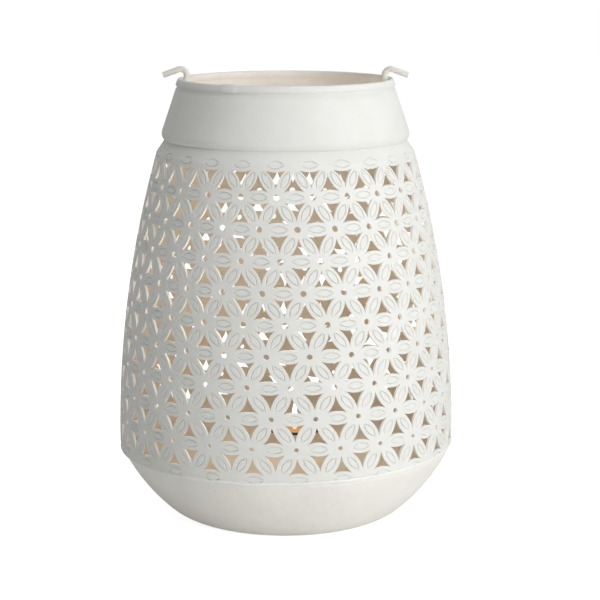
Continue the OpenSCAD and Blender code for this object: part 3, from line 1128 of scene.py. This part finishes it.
@dataclass
class Collar:
    """The conical collar with its rolled lip, the strip folded over its edge, and the hooks."""

    shape: Shape
    strip: float = 0.8
    strip_h: float = 3.3
    lap_turn: float = -34.0
    lap_angle: float = 8.0
    wire: float = 4.0
    bend_r: float = 4.0
    hook_rise: float = 3.3
    shank: float = 20.0
    tip: float = 10.6
    slope: float = 20.0
    # Places down the collar's outside, and how deep the sheet is crimped there under the strip
    crimp: tuple[Point, ...] = (
        (28, 0), (22, 0), (16, 0), (10, 0), (5.6, 0), (4.9, 0.45), (4.0, 0.5), (3.0, 0), (0, 0))
    inner_places: tuple[float, ...] = (0, 5, 10, 16, 22, 28)
    sides: int = 180
    lip_steps: int = 14
    # How far the cone is out of true, in radius and in height
    bow: float = 0.12
    wave: float = 0.18
    strip_sides: int = 360
    strip_bevel: float = 0.25
    # How far the strip is uneven in thickness, and its lower edge in height
    strip_uneven: float = 0.08
    strip_wave: float = 0.28
    # The first point of the strip's section whose faces have the inside's paint
    strip_inside_from: int = 8
    wire_around: int = 24
    wire_uneven: float = 0.03
    wire_bevel: float = 0.3
    tip_bevel: float = 0.25

    @property
    def rim(self) -> Point:
        """The middle of the collar's top edge."""
        return self.shape.collar_at(self.shape.collar_top, self.shape.sheet / 2), self.shape.collar_top

    def leaning(self, across: float, up: float) -> Point:
        """Turn a place in the collar's own lean, from its rim, into radius and height.

        Args:
            across: How far outwards, square to the sheet.
            up: How far up along the sheet.

        Returns:
            The radius and height.
        """
        a = math.radians(self.shape.collar_lean)
        return (self.rim[0] + across * math.cos(a) - up * math.sin(a),
                self.rim[1] + across * math.sin(a) + up * math.cos(a))

    def warp_side(self, turn: float, r: float, z: float) -> tuple[float, float]:
        """Leave the collar slightly out of true."""
        new_r = r - self.bow * (1 + hand_wobble(turn, z, waves=8, seed=9.4))
        return new_r, z + self.wave * hand_wobble(turn, 0.0, waves=7, seed=2.2)

    def build_collar(self, outside: bpy.types.Material, inside: bpy.types.Material) -> bpy.types.Object:
        """Build the collar.

        Args:
            outside: Its paint outside.
            inside: Its paint inside.

        Returns:
            The collar.
        """
        shape = self.shape
        lip, turn, lean = shape.lip_centre, shape.lip_turn, shape.collar_lean
        outer = arc(lip, shape.lip_round, -turn, lean, self.lip_steps)
        inner = arc(lip, shape.lip_round - shape.sheet, lean, -turn, self.lip_steps)
        half = shape.sheet / 2
        rise = [self.leaning(half - deep, -up) for up, deep in self.crimp]
        fall = [self.leaning(-half, -up) for up in self.inner_places]
        profile = [*outer, *rise, *fall, *inner]
        inside_from = len(outer) + len(rise)
        return lathe("collar_cone", profile, [outside, inside], self.sides, inside_from,
                     warp=self.warp_side)

    def build_strip(self, outside: bpy.types.Material, inside: bpy.types.Material) -> bpy.types.Object:
        """Build the strip folded over the collar's edge, with its lap and wavy lower edge.

        Args:
            outside: Its paint outside.
            inside: Its paint on the inner flap.

        Returns:
            The strip.
        """
        inner = self.shape.sheet / 2
        lap_from = math.radians(FRONT + self.lap_turn) % math.tau
        lap_to = lap_from + math.radians(self.lap_angle)
        bevel, points = self.strip_bevel, []
        for i in range(self.strip_sides):
            turn = math.tau * i / self.strip_sides
            over = self.strip / 2 if lap_from <= turn <= lap_to else 0.0
            uneven = self.strip_uneven * hand_wobble(turn, 0.0, waves=30, seed=4.4)
            half = inner + self.strip + over + uneven
            low = -self.strip_h - over - self.strip_wave * hand_wobble(turn, 0.0, waves=16, seed=6.6)
            crown = [(half * math.cos(a), half * math.sin(a)) for a in (math.pi * k / 8 for k in range(9))]
            section = [(half - bevel, low), (half, low + bevel), *crown,
                       (-half, low + bevel), (-half + bevel, low),
                       (-inner, low), (-inner, 0.0), (inner, 0.0), (inner, low)]
            for across, up in section:
                r, z = self.leaning(across, up)
                points.append((r * math.cos(turn), r * math.sin(turn), z))
        count = len(points) // self.strip_sides
        faces = hoop_faces(self.strip_sides, count)
        slots = [int(number % count >= self.strip_inside_from) for number in range(len(faces))]
        return make_object("rim_fold", points, faces, [outside, inside], slots, sharp_deg=50)

    def wire_path(self) -> list[Point]:
        """Give the hook wire's middle line, from the shank's foot to the tip.

        Returns:
            Radius and height of each point.
        """
        away = self.shape.sheet / 2 + self.strip + self.shape.gap + self.wire / 2
        turn = 90 + self.shape.collar_lean + self.slope
        path = [(0.0, -self.shank + i * (self.shank + self.hook_rise) / 12) for i in range(12)]
        path += arc((self.bend_r, self.hook_rise), self.bend_r, 180, 180 - turn, 16)
        run = math.radians(90 - turn)
        end = path[-1]
        path += [(end[0] + self.tip * s * math.cos(run), end[1] + self.tip * s * math.sin(run))
                 for s in (0.2, 0.4, 0.6, 0.8, 1.0)]
        return [self.leaning(x - away, z) for x, z in path]

    def build_hook(self, name: str, side: int, paint: bpy.types.Material) -> bpy.types.Object:
        """Build a hook of bent wire with its cut end.

        Args:
            name: The piece's name.
            side: 1 for the right, and -1 for the left.
            paint: Its paint.

        Returns:
            The hook.
        """
        path = self.wire_path()
        around, bevel, points = self.wire_around, self.wire_bevel, []
        for i, (x, z) in enumerate(path):
            before, after = path[max(i - 1, 0)], path[min(i + 1, len(path) - 1)]
            along = math.atan2(after[1] - before[1], after[0] - before[0])
            radius = self.wire / 2
            rings = [(0.0, radius)]
            if i == len(path) - 1:
                rings = [(-self.tip_bevel, radius), (0.0, radius - bevel)]
            if i == 0:
                rings = [(0.0, radius - bevel), (bevel, radius)]
            for shift, r in rings:
                for j in range(around):
                    a = math.tau * j / around
                    rough = noise.noise(Vector((x * 0.35, j * 0.4, z * 0.35 + side * 9)))
                    uneven = 1 - self.wire_uneven * (1 + rough)
                    off = r * uneven * math.cos(a)
                    points.append((side * (x + shift * math.cos(along) - off * math.sin(along)),
                                   r * uneven * math.sin(a),
                                   z + shift * math.sin(along) + off * math.cos(along)))
        faces = tube_faces(len(points) // around, around)
        return make_object(name, points, faces, [paint], sharp_deg=45)


@dataclass
class TeaLight:
    """The lit tea light on the plate."""

    shape: Shape
    centre_x: float = 5.7
    width: float = 38.0
    height: float = 14.5
    wall: float = 0.5
    lip: float = 0.7
    flutes: int = 40
    wax_drop: float = 2.2
    wick_d: float = 1.4
    wick_rise: float = 5.5
    flame_h: float = 20.0
    flame_r: float = 2.2
    foot_gap: float = 0.2
    # How deep the flutes are, where they begin above the foot and end below the top, and their fade
    flute_depth: float = 0.16
    flute_foot: float = 1.0
    flute_top: float = 2.0
    flute_fade: float = 2.0
    # How far below the top the rim has its painted shade, a dark foil standing in for the shadow along the
    # rim, and how near the wall a face counts as its own
    painted_rim_shade_h: float = 1.6
    wall_reach: float = 0.2
    # How far the burnt end leans, and how and from where it tapers
    curl: float = 0.45
    taper: float = 0.35
    taper_from: float = 0.85
    taper_reach: float = 0.15
    # The braid's ridges, as a share of the wick's radius, and how far they wind
    braid: float = 0.07
    braid_turn: float = 14.0
    # The heights above the wax between which the flame's colours run
    colours_from: float = 2.0
    colours_to: float = 19.5
    # The flame's foot below the wax, and the powers that set its belly low and its sides full
    flame_drop: float = 1.0
    belly: float = 0.62
    fullness: float = 0.85

    @property
    def foot(self) -> float:
        """The height of the cup's underside."""
        return self.shape.plate_z + self.foot_gap

    @property
    def wax_z(self) -> float:
        """The height of the wax."""
        return self.foot + self.height - self.wax_drop

    def flute(self, turn: float, r: float, z: float) -> tuple[float, float]:
        """Press shallow flutes into the cup's wall.

        Args:
            turn: The angle, in radians.
            r: The radius.
            z: The height.

        Returns:
            The new radius and height.
        """
        if r < self.width / 2 - self.wall_reach:
            return r, z
        low, high = self.foot + self.flute_foot, self.foot + self.height - self.flute_top
        share = max(min((z - low) / self.flute_fade, (high - z) / self.flute_fade, 1.0), 0.0)
        return r - self.flute_depth * share * abs(math.sin(turn * self.flutes / 2)), z

    def build_cup(self, foil: bpy.types.Material, painted_rim_shade: bpy.types.Material) -> bpy.types.Object:
        """Build the fluted cup with its rolled rim, whose outside has a dark foil as painted shade.

        Args:
            foil: Its metal.
            painted_rim_shade: The dark metal of its rim, painted shade.

        Returns:
            The cup.
        """
        half, top, foot = self.width / 2, self.foot + self.height, self.foot
        wall = [(half, foot + 0.6 + i * (self.height - 2.5) / 6) for i in range(7)]
        roll = arc((half + self.lip / 2, top - self.lip / 2), self.lip / 2, -90, 90, 6)
        profile = [(0.0, foot), (half - 0.6, foot), (half - 0.15, foot + 0.2), *wall, *roll,
                   (half - self.wall, top - 0.05), (half - self.wall, foot + self.wall),
                   (0.0, foot + self.wall)]
        cup = lathe("candle_cup", profile, [foil, painted_rim_shade], 240,
                    centre_x=self.centre_x, warp=self.flute, sharp_deg=50)
        for face in cup.data.polygons:
            away = math.hypot(face.center.x / MM - self.centre_x, face.center.y / MM)
            if away > half - self.wall_reach and face.center.z / MM > top - self.painted_rim_shade_h:
                face.material_index = 1
        return cup

    def build_wax(self, wax: bpy.types.Material) -> bpy.types.Object:
        """Build the wax, molten to a shallow dish round the wick.

        Args:
            wax: Its material.

        Returns:
            The wax.
        """
        low, top, r = self.foot + self.wall + 0.02, self.wax_z, self.width / 2 - self.wall - 0.02
        dish = [(r, top), (r - 0.8, top - 0.35), (r - 3, top - 0.55), (9.0, top - 0.6), (3.0, top - 0.6),
                (1.4, top - 0.45), (0.9, top - 0.2), (0.75, top - 0.1)]
        profile = [(0.75, low + 0.3), (6.6, low + 0.3), (6.6, low), (r, low), *dish]
        return lathe("candle_wax_disc", profile, [wax], 96, centre_x=self.centre_x, sharp_deg=50)

    def build_wick(self, cotton: bpy.types.Material) -> bpy.types.Object:
        """Build the braided wick, curled over slightly at its burnt end.

        Args:
            cotton: Its material.

        Returns:
            The wick.
        """
        base, top = self.foot + self.wall + 0.25, self.wax_z + self.wick_rise
        around, steps = 18, 36
        points = []
        for i in range(steps + 1):
            share = i / steps
            z = base + (top - base) * share
            curl = self.curl * max((z - self.wax_z) / self.wick_rise, 0.0) ** 2
            taper = 1 - self.taper * max(share - self.taper_from, 0.0) / self.taper_reach
            for j in range(around):
                a = math.tau * j / around
                ridge = 1 - self.braid + self.braid * math.cos(3 * a + self.braid_turn * share)
                r = self.wick_d / 2 * taper * ridge
                points.append((self.centre_x + curl + r * math.cos(a), r * math.sin(a), z))
        faces = tube_faces(steps + 1, around)
        return make_object("braided_wick", points, faces, [cotton], sharp_deg=60)

    def build_flame(self, glow: bpy.types.Material) -> bpy.types.Object:
        """Build the flame, a slim drop with its foot round the wick.

        Args:
            glow: Its material.

        Returns:
            The flame.
        """
        base = self.wax_z - self.flame_drop
        steps = 22
        outline = []
        for i in range(steps + 1):
            s = i / steps
            full = math.sin(math.pi * s**self.belly) ** self.fullness if 0 < i < steps else 0.0
            outline.append((self.flame_r * full, base + self.flame_h * s))
        return lathe("flame", outline, [glow], 32, centre_x=self.centre_x, sharp_deg=80)


@dataclass
class Studio:
    """The camera of the photograph, the pale floor and the soft light."""

    image_px: float = 600.0
    focal_px: float = 1923.0
    eye: tuple[float, float, float] = (9.3, -1250.0, 380.0)
    pitch: float = 10.77
    aim: tuple[float, float, float] = (0.0, 0.0, 0.15)
    world_colour: str = "#fdfdfc"
    world_strength: float = 0.16
    floor_colour: str = "#fbfaf7"
    floor_half: float = 16.0
    floor_drop: float = 0.0002
    # The floor's lift to white for the camera, near the lantern and further out, in metres from it; the
    # smaller lift near the lantern dims the floor round it, a painted shade
    near_lift: float = 0.82
    far_lift: float = 0.865
    lift_from: float = 0.1
    lift_to: float = 0.5

    def add_camera(self) -> None:
        """Add the camera where the photographer stood."""
        camera = bpy.data.cameras.new("camera")
        camera.sensor_width = 36.0
        camera.lens = self.focal_px / self.image_px * camera.sensor_width
        camera.clip_end = 50
        obj = add_object("camera", camera)
        obj.location = Vector(self.eye) * MM
        obj.rotation_euler = (math.radians(90 - self.pitch), 0.0, 0.0)
        bpy.context.scene.camera = obj

    def add_area(self, name: str, place: tuple[float, float, float], size: float, power: float) -> None:
        """Add a soft square white lamp that faces the lantern.

        Args:
            name: The lamp's name.
            place: Where it hangs, in metres.
            size: The length of its sides, in metres.
            power: Its power, in watts.
        """
        lamp = bpy.data.lights.new(name, "AREA")
        lamp.shape, lamp.size, lamp.energy = "SQUARE", size, power
        obj = add_object(name, lamp)
        obj.location = place
        obj.rotation_euler = (Vector(self.aim) - Vector(place)).to_track_quat("-Z", "Y").to_euler()

    def add_inner_light(self, name: str, place: tuple[float, float, float], radius: float, power: float,
                        colour: str) -> None:
        """Add a round light inside, which stays out of the picture itself.

        Args:
            name: The light's name.
            place: Where it is, in metres.
            radius: Its radius, in metres.
            power: Its power, in watts.
            colour: Its colour.
        """
        lamp = bpy.data.lights.new(name, "POINT")
        lamp.shadow_soft_size, lamp.energy, lamp.color = radius, power, linear(colour)[:3]
        obj = add_object(name, lamp)
        obj.location = place
        obj.visible_camera = obj.visible_glossy = False

    def add_world(self) -> None:
        """Light the scene evenly, and show white behind it."""
        world = bpy.data.worlds.new("studio")
        bpy.context.scene.world = world
        world.use_nodes = True
        tree = world.node_tree
        tree.nodes.clear()
        path = add_node(tree, "ShaderNodeLightPath").outputs
        seen = path["Is Camera Ray"]
        for kind in ("Is Glossy Ray", "Is Transmission Ray"):
            larger = add_node(tree, "ShaderNodeMath", {"operation": "MAXIMUM"}, {0: seen, 1: path[kind]})
            seen = larger.outputs[0]
        dim = add_node(tree, "ShaderNodeBackground", inputs={
            "Color": linear(self.world_colour), "Strength": self.world_strength})
        white = add_node(tree, "ShaderNodeBackground", inputs={"Color": (1, 1, 1, 1), "Strength": 1.0})
        both = add_node(tree, "ShaderNodeMixShader", inputs={
            0: seen, 1: dim.outputs["Background"], 2: white.outputs["Background"]})
        add_node(tree, "ShaderNodeOutputWorld", inputs={"Surface": both.outputs["Shader"]})

    def add_floor(self) -> None:
        """Add the pale floor, which looks white, keeps the lantern's shadow, and is dimmed near the lantern
        as painted shade.
        """
        material, tree, place = new_material("pale_floor")
        seen = add_node(tree, "ShaderNodeLightPath").outputs["Is Camera Ray"]
        matte = add_node(tree, "ShaderNodeBsdfDiffuse", inputs={"Color": linear(self.floor_colour)})
        away = add_node(tree, "ShaderNodeVectorMath", {"operation": "LENGTH"}, {0: place})
        # Painted shade: less lift near the lantern dims the floor round it.
        white = add_node(tree, "ShaderNodeMapRange", inputs={
            "Value": away.outputs["Value"], "From Min": self.lift_from, "From Max": self.lift_to,
            "To Min": self.near_lift, "To Max": self.far_lift})
        lift = add_node(tree, "ShaderNodeEmission", inputs={
            "Strength": add_node(tree, "ShaderNodeMath", {"operation": "MULTIPLY"}, {
                0: seen, 1: white.outputs["Result"]}).outputs[0]})
        both = add_node(tree, "ShaderNodeAddShader", inputs={
            0: matte.outputs["BSDF"], 1: lift.outputs["Emission"]})
        add_node(tree, "ShaderNodeOutputMaterial", inputs={"Surface": both.outputs["Shader"]})
        half = self.floor_half
        corners = [(-half, -half, 0), (half, -half, 0), (half, half, 0), (-half, half, 0)]
        mesh = bpy.data.meshes.new("floor")
        mesh.from_pydata(corners, [], [(0, 1, 2, 3)])
        mesh.materials.append(material)
        floor = add_object("floor", mesh)
        floor.location.z = -self.floor_drop

    def build(self) -> None:
        """Set up camera, floor and light."""
        bpy.context.scene.view_settings.view_transform = "Standard"
        self.add_camera()
        self.add_world()
        self.add_floor()
        self.add_area("key", (1.42, -1.58, 0.7), 1.1, 23.0)
        self.add_area("side", (2.1, -0.2, 0.7), 1.1, 5.0)
        self.add_area("fill", (-0.5, -1.93, 0.25), 1.4, 4.8)
        self.add_area("overhead", (0.3, -0.2, 2.1), 1.8, 12.0)
        self.add_inner_light("bounce_inside", (0.0, -0.045, 0.16), 0.03, 0.21, "#fffaf2")
        self.add_inner_light("candle_glow", (0.0057, 0.0, 0.086), 0.004, 0.013, "#ffc98a")


def settle(piece: bpy.types.Object, body: Body, slot: Slot, *nodes: str) -> None:
    """Put a piece on its body and in its solids' place.

    Args:
        piece: The piece.
        body: What it moves with.
        slot: The record's material slot that it belongs to; not used.
        *nodes: The solids that it stands for.
    """
    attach(piece, body.value)
    if nodes:
        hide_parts(*nodes)
    log.info("%s rides on %s, %d faces", piece.name, body.value, len(piece.data.polygons))


def dress(frame: dict[str, Any], node: str, material: bpy.types.Material) -> None:
    """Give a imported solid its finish.

    Args:
        frame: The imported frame.
        node: The solid's name.
        material: Its finish.
    """
    obj = frame["nodes"][node]
    for holder in obj.material_slots:
        holder.material = material
    log.info("%s keeps its solid", node)


def main() -> None:
    """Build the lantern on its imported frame."""
    logging.basicConfig(level=logging.INFO, format="%(name)s: %(message)s")
    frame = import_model()
    Studio().build()
    shape = Shape()
    tea = TeaLight(shape)

    white = MattePaint("white_alkyd_on_steel", "#efefec", "#ecece8").build()
    # The bowl's white is lighter than the barrel's: painted light that brightens the bowl where it faces
    # down, away from the lamps.
    bowl_paint = MattePaint("white_alkyd_painted_light_on_bowl", "#f7f6f1", "#f3f1ec",
                            skin_mm=6.0, skin_depth_mm=0.4, grain_depth_mm=0.12).build()
    # The weld's white is lighter still: a painted highlight along the bead.
    bead_paint = MattePaint("white_alkyd_painted_highlight_on_weld", "#fbfbf8", "#f4f4ef",
                            skin_mm=2.2, skin_depth_mm=0.2).build()
    wire_paint = MattePaint("white_alkyd_on_wire", "#e9e7e0", "#dcd9d0", skin_mm=3.0).build()
    # The beige inside is painted shade: a darker, warmer copy of the white that stands in for the shade and
    # warm candle light on the paint inside.
    beige = MattePaint("warm_beige_painted_shade_inside", "#cbc2b5", "#c1b6a6", roughness=0.7).build()
    cream = MattePaint("cream_overspray_in_collar", "#edebe8", "#e4e1dd", roughness=0.68).build()
    foil = DrawnMetal("drawn_aluminium_foil", "#f1ece5", "#dbd5cc").build()
    # The rim's dark foil is painted shade, standing in for the shadow along the cup's rim.
    painted_rim_shade = DrawnMetal("foil_rim_painted_shade", "#6a5a49", "#4b3e31", roughness=0.45).build()
    tin = DrawnMetal("tinned_steel_disc", "#b6b7b9", "#9a9b9c").build()
    # The wax's tan is painted warm shade on white paraffin, and its glow colours are a painted glow from
    # the flame.
    wax = ParaffinWax("paraffin_wax", "#b08b60", "#ffe6bd", "#b9793a", tea.centre_x).build()
    cotton = BurntCotton("charred_cotton_braid", "#17120f", "#8d7d63",
                         tea.wax_z, tea.wax_z + tea.wick_rise).build()
    flame = CandleFlame("candle_flame", "#fffdf4", "#ffb84a", "#9a8972",
                        tea.wax_z + tea.colours_from, tea.wax_z + tea.colours_to).build()

    bowl, collar = Bowl(shape), Collar(shape)
    settle(PiercedBarrel(shape).build(white, beige), Body.LANTERN, Slot.WHITE, "pierced_body")
    settle(bowl.build_bowl(bowl_paint, beige), Body.LANTERN, Slot.WHITE, "base_bowl")
    settle(bowl.build_bead(bead_paint), Body.LANTERN, Slot.WELD, "seam_weld")
    settle(collar.build_collar(white, cream), Body.LANTERN, Slot.WHITE, "collar")
    settle(collar.build_strip(white, cream), Body.LANTERN, Slot.WHITE, "rim_strip")
    settle(collar.build_hook("right_hook_wire", 1, wire_paint), Body.LANTERN, Slot.HOOK, "hook_right")
    settle(collar.build_hook("left_hook_wire", -1, wire_paint), Body.LANTERN, Slot.HOOK, "hook_left")
    settle(tea.build_cup(foil, painted_rim_shade), Body.TEALIGHT, Slot.FOIL, "tealight_cup")
    settle(tea.build_wax(wax), Body.TEALIGHT, Slot.WAX, "tealight_wax")
    settle(tea.build_wick(cotton), Body.TEALIGHT, Slot.COTTON, "wick")
    settle(tea.build_flame(flame), Body.TEALIGHT, Slot.WAX)
    for node in ("candle_plate", "plate_tack_welds"):
        dress(frame, node, beige)
    for node in ("neck_weld", "hook_tacks_left", "hook_tacks_right"):
        dress(frame, node, cream)
    dress(frame, "wick_sustainer", tin)


if __name__ == "__main__":
    main()
